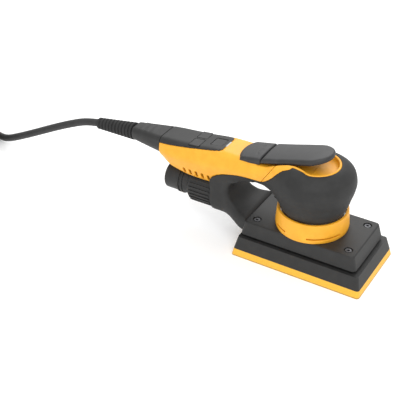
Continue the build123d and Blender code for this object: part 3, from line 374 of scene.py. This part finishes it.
def foam(name, dark, light):
    """Cut polyurethane foam: open cells and a matt, slightly mottled colour."""
    paint = Paint(name)
    inputs = {"Vector": paint.place, "Scale": 1 / (0.9 * MM), "Randomness": 1.0}
    cells = paint.node("ShaderNodeTexVoronoi", inputs, feature="F1").outputs["Distance"]
    cloud = paint.noise(4.0)
    both = paint.add(cells, cloud, 0.6)
    paint.to("Base Color", paint.ramp(both, [(0.2, dark), (0.75, light)]))
    paint.to("Roughness", paint.spread(cloud, 0.82, 0.95))
    paint.to("Sheen Weight", 0.15)
    paint.bump(cells, 0.18)
    return paint.material


def loops(name, dark, light):
    """Hook-and-loop face: rows of tiny mushrooms on a woven ground."""
    paint = Paint(name)
    inputs = {"Vector": paint.place, "Scale": 1 / (0.7 * MM), "Randomness": 0.25}
    rows = paint.node("ShaderNodeTexVoronoi", inputs, feature="F1").outputs["Distance"]
    cloud = paint.noise(3.0)
    paint.to("Base Color", paint.ramp(paint.add(rows, cloud, 0.4), [(0.15, light), (0.8, dark)]))
    paint.to("Roughness", paint.spread(cloud, 0.85, 0.97))
    paint.to("Sheen Weight", 0.3)
    paint.bump(rows, -0.25)
    return paint.material


def layered(name, dark, light, pitch, metallic):
    """Stacked laminations or wound wire: fine bands across Z."""
    paint = Paint(name)
    inputs = {"Vector": paint.place, "Scale": 1 / (pitch * MM) / 3.2, "Distortion": 0.4, "Detail": 1.0}
    bands = paint.node("ShaderNodeTexWave", inputs, bands_direction="Z").outputs["Fac"]
    cloud = paint.noise(3.0)
    paint.to("Base Color", paint.ramp(paint.add(bands, cloud, 0.4), [(0.2, dark), (0.95, light)]))
    paint.to("Metallic", metallic)
    paint.to("Roughness", paint.spread(cloud, 0.35, 0.5))
    paint.bump(bands, 0.08)
    return paint.material


def board(name):
    """Green solder mask over faint copper tracks."""
    paint = Paint(name)
    inputs = {"Vector": paint.place, "Scale": 1 / (2.2 * MM), "Randomness": 0.9}
    tracks = paint.node("ShaderNodeTexVoronoi", inputs, feature="DISTANCE_TO_EDGE").outputs["Distance"]
    paint.to("Base Color", paint.ramp(tracks, [(0.05, (0.03, 0.16, 0.05)), (0.09, (0.005, 0.07, 0.02))]))
    paint.to("Roughness", paint.spread(paint.noise(2.0), 0.3, 0.45))
    paint.bump(tracks, 0.03)
    return paint.material


def glowing(name, colour):
    """A milky light pipe with a faint glow."""
    paint = Paint(name)
    cloud = paint.noise(1.5)
    tint = paint.ramp(cloud, [(0.3, tuple(0.8 * c for c in colour)), (0.7, colour)])
    paint.to("Base Color", tint)
    paint.to("Emission Color", (*colour, 1.0))
    paint.to("Emission Strength", 0.15)
    paint.to("Roughness", paint.spread(cloud, 0.3, 0.4))
    return paint.material


BLACK = moulded("black_moulding", (0.011, 0.011, 0.0107), (0.019, 0.019, 0.0185), 0.5)
SOFT_BLACK = moulded("soft_black", (0.012, 0.012, 0.0117), (0.021, 0.021, 0.0205), 0.58, 0.5, 0.025, 0.45)
YELLOW = moulded("yellow_moulding", (0.85, 0.375, 0.016), (0.94, 0.445, 0.026), 0.42, 0.4, 0.012)
SLOT_MATERIALS = {
    "black_rubber": SOFT_BLACK,
    "black_plastic": BLACK,
    "yellow_plastic": YELLOW,
    "yellow_foam": foam("pad_foam_cells", (0.70, 0.33, 0.025), (0.93, 0.50, 0.05)),
    "hook_fabric": loops("hook_loops", (0.42, 0.22, 0.04), (0.86, 0.55, 0.14)),
    "lever_plastic": moulded("lever_moulding", (0.018, 0.018, 0.0185), (0.029, 0.029, 0.030), 0.46, 0.3),
    "button_plastic": moulded("button_moulding", (0.018, 0.018, 0.018), (0.028, 0.028, 0.028), 0.5, 0.25),
    "light_pipe": glowing("light_pipe", (0.42, 0.44, 0.42)),
    "steel": metal("ground_steel", (0.38, 0.38, 0.39), (0.60, 0.60, 0.61), 0.26),
    "dark_steel": metal("blackened_steel", (0.045, 0.045, 0.05), (0.10, 0.10, 0.105), 0.38),
    "aluminium": metal("cast_aluminium", (0.50, 0.51, 0.52), (0.70, 0.71, 0.72), 0.4),
    "lamination": layered("stator_laminations", (0.12, 0.12, 0.13), (0.33, 0.33, 0.34), 0.5, 1.0),
    "copper": layered("copper_winding", (0.35, 0.10, 0.03), (0.85, 0.36, 0.16), 0.8, 1.0),
    "magnet": metal("plated_magnet", (0.30, 0.30, 0.31), (0.48, 0.48, 0.50), 0.32),
    "seal_rubber": moulded("seal_rubber", (0.012, 0.012, 0.012), (0.022, 0.022, 0.022), 0.7, 0.5),
    "circuit": board("solder_mask"),
    "cord_rubber": moulded("cord_sheath", (0.017, 0.017, 0.017), (0.028, 0.028, 0.028), 0.55, 0.6, 0.03),
    "plug_plastic": moulded("plug_moulding", (0.016, 0.016, 0.016), (0.027, 0.027, 0.027), 0.5),
    "contact_metal": metal("plated_contact", (0.55, 0.55, 0.56), (0.78, 0.78, 0.79), 0.22),
    "capacitor_sleeve": moulded("capacitor_sleeve", (0.02, 0.025, 0.05), (0.03, 0.04, 0.08), 0.3, 1.0),
}


# ---------------------------------------------------------------- camera
def camera():
    """The photograph's view: from the near side and the nose, about 35 degrees above the floor."""
    azimuth, elevation, roll = radians(31.48), radians(35.01), radians(-0.52)
    look_at = Vector((-115.09, 0.0, 12.18))
    distance = 918.02
    back = Vector((sin(azimuth) * cos(elevation), -cos(azimuth) * cos(elevation), sin(elevation)))
    right = Vector((cos(azimuth), sin(azimuth), 0.0))
    up = back.cross(right)
    rolled_right = right * cos(roll) + up * sin(roll)
    rolled_up = up * cos(roll) - right * sin(roll)
    place = (look_at + back * distance) * MM
    data = bpy.data.cameras.new("view")
    data.sensor_width = 36.0
    data.lens = 78.35
    data.clip_end = 20.0
    eye = bpy.data.objects.new("view", data)
    turn = Matrix((rolled_right, rolled_up, back)).transposed().to_4x4()
    eye.matrix_world = Matrix.Translation(place) @ turn
    bpy.context.scene.collection.objects.link(eye)
    bpy.context.scene.camera = eye


camera()

# ---------------------------------------------------------------- cord
# Routes, as in the CAD: from the strain relief to the coil, and from the coil to the plug
CORD_ROUTE = [
    (-247.0, 0.0, 73.0),
    (-262.0, 0.0, 70.8),
    (-284.0, 0.2, 61.6),
    (-309.0, 0.2, 49.6),
    (-337.0, 0.0, 35.2),
    (-364.0, 0.4, 21.6),
    (-388.0, 4.0, 9.8),
    (-410.6, 12.6, 4.5),
    (-433.8, 22.8, 4.0),
]
TAIL_ROUTE = [
    (-510.4, -14.4, 28.2),
    (-514.5, -33.6, 29.8),
    (-509.7, -52.6, 33.0),
    (-497.1, -67.6, 37.2),
    (-479.2, -75.6, 40.8),
    (-459.6, -75.6, 42.5),
]
TURN_POINTS = 16
TURNS_PER_LAYER = 3
LAYERS = 4
COIL_START = radians(65.0)
LAST_POINTS = 4  # how far the last turn goes before the plug's end leaves it
SHIFT_POINTS = 4  # how far before a turn's end the lead starts across to the next one
OUTER_TURN = 56.0
INNER_TURN = 40.0


def coil_points():
    """Eleven and a quarter turns in four layers, anticlockwise from where the lead arrives."""
    spots = []
    for turn in range(TURNS_PER_LAYER * LAYERS):
        layer, place = divmod(turn, TURNS_PER_LAYER)
        across = CORD_DIAMETER * place
        radius = OUTER_TURN - across if layer % 2 == 0 else INNER_TURN + across
        spots.append((radius, CORD_DIAMETER / 2 + CORD_DIAMETER * layer))
    points = []
    for step in range(1, TURN_POINTS * (len(spots) - 1) + LAST_POINTS):
        turn, part = divmod(step, TURN_POINTS)
        here, after = spots[turn], spots[min(turn + 1, len(spots) - 1)]
        share = min(max((part - TURN_POINTS + SHIFT_POINTS) / SHIFT_POINTS, 0.0), 1.0)
        share = share * share * (3 - 2 * share)
        radius, height = (a + (b - a) * share for a, b in zip(here, after))
        angle = COIL_START + 2 * pi * step / TURN_POINTS
        x, y = COIL_CENTRE[0] + radius * cos(angle), COIL_CENTRE[1] + radius * sin(angle)
        points.append((x, y, height))
    return points


def cord():
    """The mains lead as one round curve along its route."""
    route = CORD_ROUTE + coil_points() + TAIL_ROUTE
    curve = bpy.data.curves.new("power_lead", "CURVE")
    curve.dimensions = "3D"
    curve.bevel_depth = CORD_DIAMETER / 2 * MM
    curve.bevel_resolution = 5
    curve.resolution_u = 6
    curve.use_fill_caps = True
    spline = curve.splines.new("NURBS")
    spline.points.add(len(route) - 1)
    for point, place in zip(spline.points, route):
        point.co = (*(v * MM for v in place), 1.0)
    spline.order_u = 3
    spline.use_endpoint_u = True
    curve.materials.append(SLOT_MATERIALS["cord_rubber"])
    lead = bpy.data.objects.new("power_lead", curve)
    bpy.context.scene.collection.objects.link(lead)
    return lead


lead = cord()
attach(lead, "housing")
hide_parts("power_cord", "cord_coil")


# ---------------------------------------------------------------- shell shapes
def section_field(stations):
    """A field for a body given by stations along X, with six soft-cornered sides."""
    rows = np.array(stations)
    tables = [curve_through(list(zip(rows[:, 0], rows[:, k]))) for k in range(1, 7)]

    def field(x, y, z, crease_radius=3.0):
        top, half_top, crease, half_crease, bottom, half_bottom = (table(x) for table in tables)
        side = np.abs(y) - half_crease
        rise, spread = top - crease, half_crease - half_top
        drop, tuck = crease - bottom, half_crease - half_bottom
        upper = (side * rise + (z - crease) * spread) / np.hypot(rise, spread)
        lower = (side * drop + (crease - z) * tuck) / np.hypot(drop, tuck)
        flank = smooth_max(upper, lower, crease_radius)
        return smooth_max(smooth_max(flank, z - top, 5.0), bottom - z, 8.0)

    return field


neck_section = section_field(STATIONS)
cap_section = section_field(CAP_STATIONS)
dome_reach = curve_through(
    [(np.arctan2(z - DOME_MIDDLE, r), hypot(r, z - DOME_MIDDLE)) for r, z in DOME_OUTLINE]
)
colour_side = outline(
    [*smooth_line(COLOUR_LINE), (COLLAR_REAR, 40.0), (-170.0, 40.0), (-170.0, 130.0), (-14.0, 130.0)]
)
finger_side = outline([*smooth_line(FINGER_OPENING), (-45.0, 70.6), (-45.0, 37.6)])
channel_floor = curve_through([(0.0, 98.0), (-20.5, 98.0), (-34.0, 95.2), (-52.0, 93.6)])
panel_edge = curve_through([(HANDLE_REAR, 83.4), (-124.0, 88.6), (PANEL_FRONT, 94.6)])
duct_half = curve_through(
    [(-101.5, 19.6), (-90.0, 19.8), (-80.0, 21.6), (-70.0, 25.2), (-62.0, 28.4), (-55.0, 30.2)]
)
duct_floor = curve_through([(-101.5, 20.9), (-84.0, 21.0), (-70.0, 22.0), (-55.0, 22.6)])
duct_round = curve_through([(-101.5, 21.0), (-88.0, 21.0), (-64.0, 6.0), (-55.0, 4.0)])


def dome(x, y, z):
    """The dome over the motor, a solid of revolution."""
    across = np.hypot(x, y)
    up = z - DOME_MIDDLE
    side = np.hypot(across, up) - dome_reach(np.arctan2(up, across))
    return smooth_max(smooth_max(side, z - BOWL_RIM, 1.2), RING_TOP + 0.2 - z, 0.8)


def neck(x, y, z):
    """Neck and handle, open towards the dome."""
    crease_radius = np.interp(x, [-62.0, -30.0], [2.6, 16.0])
    body = neck_section(x, y, z, crease_radius)
    return smooth_max(smooth_max(body, HANDLE_REAR - x, 1.2), x + 6.0, 2.0)


def upper_body(x, y, z):
    return smooth_min(dome(x, y, z), neck(x, y, z), 12.0)


def recess(x, y, z):
    """The hollow that the lever sinks into: a dished bowl and a channel behind it."""
    bowl = smooth_max(np.hypot(x, y) - BOWL_RADIUS, BOWL_FLOOR - z, 4.0)
    channel = smooth_max(np.abs(y) - 18.9, channel_floor(x) - z, 3.0)
    channel = smooth_max(smooth_max(channel, -52.0 - x, 1.0), x, 1.0)
    pocket = box_field(x, y, z, (-58.8, -9.0, 92.0), (-43.4, 9.0, 120.0), 0.8)
    return np.minimum(smooth_min(bowl, channel, 2.0), pocket)


def yellow_zone(x, y, z):
    """Where the shells are yellow: above the colour line, and round the recess."""
    return np.minimum(colour_side(x, z), recess(x, y, z) - 2.4)


def joint_side(x, z):
    """Distance ahead of the joint between the head shell and the handle shell."""
    (x0, z0), (x1, z1) = SHELL_JOINT
    length = hypot(x1 - x0, z1 - z0)
    return ((x - x0) * (z0 - z1) - (z - z0) * (x0 - x1)) / length


def panel_zone(x, z):
    return smooth_max(panel_edge(x) - z, x - PANEL_FRONT, 5.0)


def black_housing(x, y, z):
    """Neck underside, dome, collar and dust duct as one black shell round the finger opening."""
    duct = smooth_max(duct_floor(x) - z, np.abs(y) - duct_half(x), duct_round(x))
    duct = smooth_max(smooth_max(duct, z - 73.0, 6.0), x + 55.0, 0.8)
    whole = smooth_min(upper_body(x, y, z), duct, 5.0)
    whole = smooth_max(whole, -finger_side(x, z), 7.0)
    whole = smooth_max(whole, COLLAR_REAR - x, 1.2)
    shell = hollow(whole)
    hose = np.hypot(y, z - HOSE_HEIGHT)
    shell = np.maximum(shell, np.minimum(COLLAR_BORE - hose, HOSE_END - x))
    foot = np.maximum(np.hypot(x, y) - 28.6, z - 58.6)
    shell = np.maximum(shell, -foot)
    return smooth_max(shell, SEAM - yellow_zone(x, y, z), 0.6)


def yellow_shell(x, y, z):
    solid = smooth_max(upper_body(x, y, z), -recess(x, y, z), 1.2)
    return smooth_max(hollow(solid), yellow_zone(x, y, z) + SEAM, 0.6)


def head_top(x, y, z):
    return smooth_max(yellow_shell(x, y, z), SEAM - joint_side(x, z), 0.4)


VENT_STATIONS = (-131.0, -124.1, -117.2, -110.3, -103.4)
VENT_HEIGHT = 62.3
VENT_LEAN = radians(6.0)
VENT_REACH = 2.1  # from a slot's middle to the centre of its round end
VENT_RADIUS = 1.4


def vents(x, z):
    """Five upright slots, tipped a little."""
    slots = np.inf
    for place in VENT_STATIONS:
        along = (z - VENT_HEIGHT) * cos(VENT_LEAN) - (x - place) * sin(VENT_LEAN)
        across = (x - place) * cos(VENT_LEAN) + (z - VENT_HEIGHT) * sin(VENT_LEAN)
        slot = np.hypot(across, np.maximum(np.abs(along) - VENT_REACH, 0.0)) - VENT_RADIUS
        slots = np.minimum(slots, slot)
    return slots


def handle(x, y, z):
    shell = yellow_shell(x, y, z)
    shell = smooth_max(shell, joint_side(x, z) + SEAM, 0.4)
    shell = smooth_max(shell, SEAM - panel_zone(x, z), 0.6)
    shell = smooth_max(shell, -vents(x, z), 0.5)
    ring_space = np.minimum(RING_SPACE - np.hypot(y, z - HOSE_HEIGHT), x - RING_SPACE_REAR)
    return np.maximum(shell, np.minimum(ring_space, COLLAR_REAR - x))


# Buttons on the control panel: centre along the handle and across it, length and width
PANEL_POINT = (-107.5, 93.05)
PANEL_SLOPE = 0.1
BUTTONS = {
    "power": (6.0, 0.0, 13.0, 13.6),
    "minus": (-14.6, -7.7, 12.0, 13.4),
    "plus": (-14.6, 7.7, 12.0, 13.4),
}
BUTTON_GAP = 0.1
LIGHT_BAR = (16.4, 0.8, 5.0)  # place along the panel, half length and half width


def panel_place(x, z):
    """Distance along the control panel from its middle."""
    return ((x - PANEL_POINT[0]) + PANEL_SLOPE * (z - PANEL_POINT[1])) / hypot(1.0, PANEL_SLOPE)


def panel(x, y, z):
    shell = smooth_max(hollow(upper_body(x, y, z)), panel_zone(x, z) + SEAM, 0.6)
    along = panel_place(x, z)
    for centre, across, length, width in BUTTONS.values():
        ends = np.abs(along - centre) - length / 2 - BUTTON_GAP
        sides = np.abs(y - across) - width / 2 - BUTTON_GAP
        hole = smooth_max(ends, sides, 1.4)
        shell = smooth_max(shell, -hole, 0.3)
    middle, half_length, half_width = LIGHT_BAR
    bar = np.maximum(np.abs(along - middle) - half_length, np.abs(y) - half_width)
    return np.maximum(shell, -bar)


CAP_RIDGES = (-189.0, -182.0, -175.0)


def end_cap(x, y, z):
    """The cap between handle and strain relief, with three soft ridges across its top."""
    body = smooth_max(cap_section(x, y, z, 2.6), x - CAP_FRONT, 0.6)
    for middle in CAP_RIDGES:
        top = 86.75 + 0.085 * (middle + 182.0)
        ridge = box_field(x, y, z, (middle - 1.5, -8.0, 80.0), (middle + 1.5, 8.0, top + 0.5), 0.9)
        body = smooth_min(body, smooth_max(ridge, np.hypot(y, z - top + 30.0) - 30.6, 0.6), 1.2)
    return smooth_max(body, CAP_REAR - x, 1.5)


# ---------------------------------------------------------------- lever and its cover
lever_top = curve_through([(-48.0, 101.6), (-30.0, 106.4), (-8.0, 112.6), (8.0, 116.4), (20.0, 117.6)])
lever_under = curve_through([(-48.0, 96.0), (-30.0, 100.6), (-12.0, 105.2), (4.0, 109.4), (20.0, 113.6)])
LEVER_TIP = [
    (-10.0, 17.6),
    (3.0, 17.0),
    (13.0, 10.4),
    (16.6, 0.0),
    (13.0, -10.4),
    (3.0, -17.0),
    (-10.0, -17.6),
]
lever_plan = outline([(LEVER_REAR, -LEVER_HALF), (LEVER_REAR, LEVER_HALF), *smooth_line(LEVER_TIP)])
cover_top = curve_through([(-80.0, 95.2), (-62.0, 98.9), (-48.0, 101.6)])
COVER_END = [(-69.8, 17.0), (-73.4, 10.0), (-75.0, 0.0), (-73.4, -10.0), (-69.8, -17.0)]
cover_plan = outline([*smooth_line(COVER_END), (-48.5, -LEVER_HALF), (-48.5, LEVER_HALF)])


def crowned(y):
    """How far the lever and its cover fall away towards their sides."""
    return LEVER_CROWN * (y / LEVER_HALF) ** 2


def lever(x, y, z):
    """The paddle, with the ear behind it that turns on the hinge pin."""
    blade = smooth_max(lever_plan(x, y), z - lever_top(x) + crowned(y), 3.2)
    blade = smooth_max(blade, lever_under(x) - z, 1.6)
    ear = box_field(x, y, z, (-55.8, -8.0, 94.6), (-45.0, 8.0, 98.6), 1.0)
    eye = np.hypot(x - PIVOT[0], z - PIVOT[1]) - PIVOT_RADIUS
    return np.maximum(smooth_min(blade, ear, 1.0), -eye)


def cover(x, y, z):
    """The fixed cover behind the lever, hollow over the hinge."""
    body = smooth_max(cover_plan(x, y), z - cover_top(x) + crowned(y), 3.0)
    body = smooth_max(body, -(upper_body(x, y, z) + 0.2), 0.4)
    pocket = box_field(x, y, z, (-57.0, -9.0, 93.0), (-44.0, 9.0, 99.2), 0.6)
    return np.maximum(body, -pocket)


# ---------------------------------------------------------------- pieces
def place(piece, body, slot, *nodes):
    """Put a piece on its body and hide the CAD nodes that it stands for; the material slot is not used."""
    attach(piece, body)
    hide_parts(*nodes)


VOXEL = 0.9
FINE = 0.75
LEVER_BLACK = SLOT_MATERIALS["lever_plastic"]
place(
    field_piece("soft_housing", black_housing, (-101.5, -38.6, 20.5), (38.6, 38.6, 104.0), VOXEL, SOFT_BLACK),
    "housing", "black_rubber", "head_housing", "dust_duct",
)
place(
    field_piece("head_shell", head_top, (-46.0, -30.0, 76.0), (23.6, 30.0, 104.0), FINE, YELLOW),
    "housing", "yellow_plastic", "head_top_shell",
)
place(
    field_piece("handle_body", handle, (-161.0, -25.0, 53.0), (-27.0, 25.0, 104.0), FINE, YELLOW),
    "housing", "yellow_plastic", "handle_shell",
)
place(
    field_piece("keypad_panel", panel, (-161.0, -18.5, 82.0), (-88.0, 18.5, 96.5), FINE, BLACK),
    "housing", "black_plastic", "control_panel",
)
place(
    field_piece("end_cap", end_cap, (-199.0, -16.2, 64.0), (-161.0, 16.2, 89.5), FINE, BLACK),
    "housing", "black_plastic", "rear_cap",
)
place(
    field_piece("paddle", lever, (-57.0, -18.0, 93.5), (17.0, 18.0, 118.0), FINE, LEVER_BLACK),
    "lever", "lever_plastic", "lever",
)
place(
    field_piece("paddle_cover", cover, (-76.0, -18.0, 85.0), (-48.0, 18.0, 102.5), FINE, LEVER_BLACK),
    "housing", "lever_plastic", "lever_rear_cover",
)


# ---------------------------------------------------------------- CAD nodes that stay
def node_slots():
    """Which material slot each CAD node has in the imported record."""
    return {row["node"]: row["material_slot"] for row in frame["record"]["subparts"]}


slots = node_slots()
for name, node in frame["nodes"].items():
    node.data.materials.clear()
    node.data.materials.append(SLOT_MATERIALS[slots[name]])

BEVELS = {
    "pad_plate": 0.6,
    "dust_shroud": 0.5,
    "collar_ring": 0.3,
    "lock_ring": 0.25,
    "hose_connector": 0.3,
    "strain_relief": 0.25,
    "minus_button": 0.2,
    "plus_button": 0.2,
    "power_button": 0.2,
    "shroud_screws": 0.15,
    "plug_body": 0.6,
    "plug_pins": 0.5,
    "pad_foam": 0.5,
    "hook_face": 0.2,
    "light_bar": 0.1,
}
for name, width in BEVELS.items():
    node = frame["nodes"][name]
    weld = node.modifiers.new("weld", "WELD")
    weld.merge_threshold = 1e-6
    bevel = node.modifiers.new("bevel", "BEVEL")
    bevel.width = width * MM
    bevel.segments = 2
    bevel.limit_method = "ANGLE"
    bevel.angle_limit = radians(30.0)
    bevel.use_clamp_overlap = True


# ---------------------------------------------------------------- floor and light
def stage():
    """A plain pale floor."""
    mesh = bpy.data.meshes.new("floor")
    reach = 4.0
    corners = [(-reach, -reach, 0), (reach, -reach, 0), (reach, reach, 0), (-reach, reach, 0)]
    mesh.from_pydata(corners, [], [(0, 1, 2, 3)])
    paint = Paint("pale_floor")
    cloud = paint.noise(300.0, 1.0)
    paint.to("Base Color", paint.ramp(cloud, [(0.3, (0.90, 0.90, 0.90)), (0.7, (0.93, 0.93, 0.93))]))
    paint.to("Roughness", 0.9)
    paint.to("Specular IOR Level", 0.1)
    paint.to("Emission Color", (1.0, 1.0, 1.0, 1.0))
    paint.to("Emission Strength", 0.15)
    mesh.materials.append(paint.material)
    floor = bpy.data.objects.new("floor", mesh)
    bpy.context.scene.collection.objects.link(floor)


def soft_light(name, place, look_at, size, power):
    """A square area light turned towards a point."""
    data = bpy.data.lights.new(name, "AREA")
    data.size = size
    data.energy = power
    lamp = bpy.data.objects.new(name, data)
    lamp.location = place
    lamp.rotation_euler = (Vector(look_at) - Vector(place)).to_track_quat("-Z", "Y").to_euler()
    bpy.context.scene.collection.objects.link(lamp)


stage()
world = bpy.data.worlds.new("studio")
world.use_nodes = True
world.node_tree.nodes["Background"].inputs["Color"].default_value = (1.0, 1.0, 1.0, 1.0)
world.node_tree.nodes["Background"].inputs["Strength"].default_value = 0.9
bpy.context.scene.world = world
bpy.context.scene.view_settings.view_transform = "Standard"
soft_light("key", (0.5, -0.7, 1.3), (-0.08, 0.0, 0.05), 0.9, 9.0)
soft_light("rim", (-0.4, 0.9, 0.9), (-0.08, 0.0, 0.08), 0.9, 7.0)
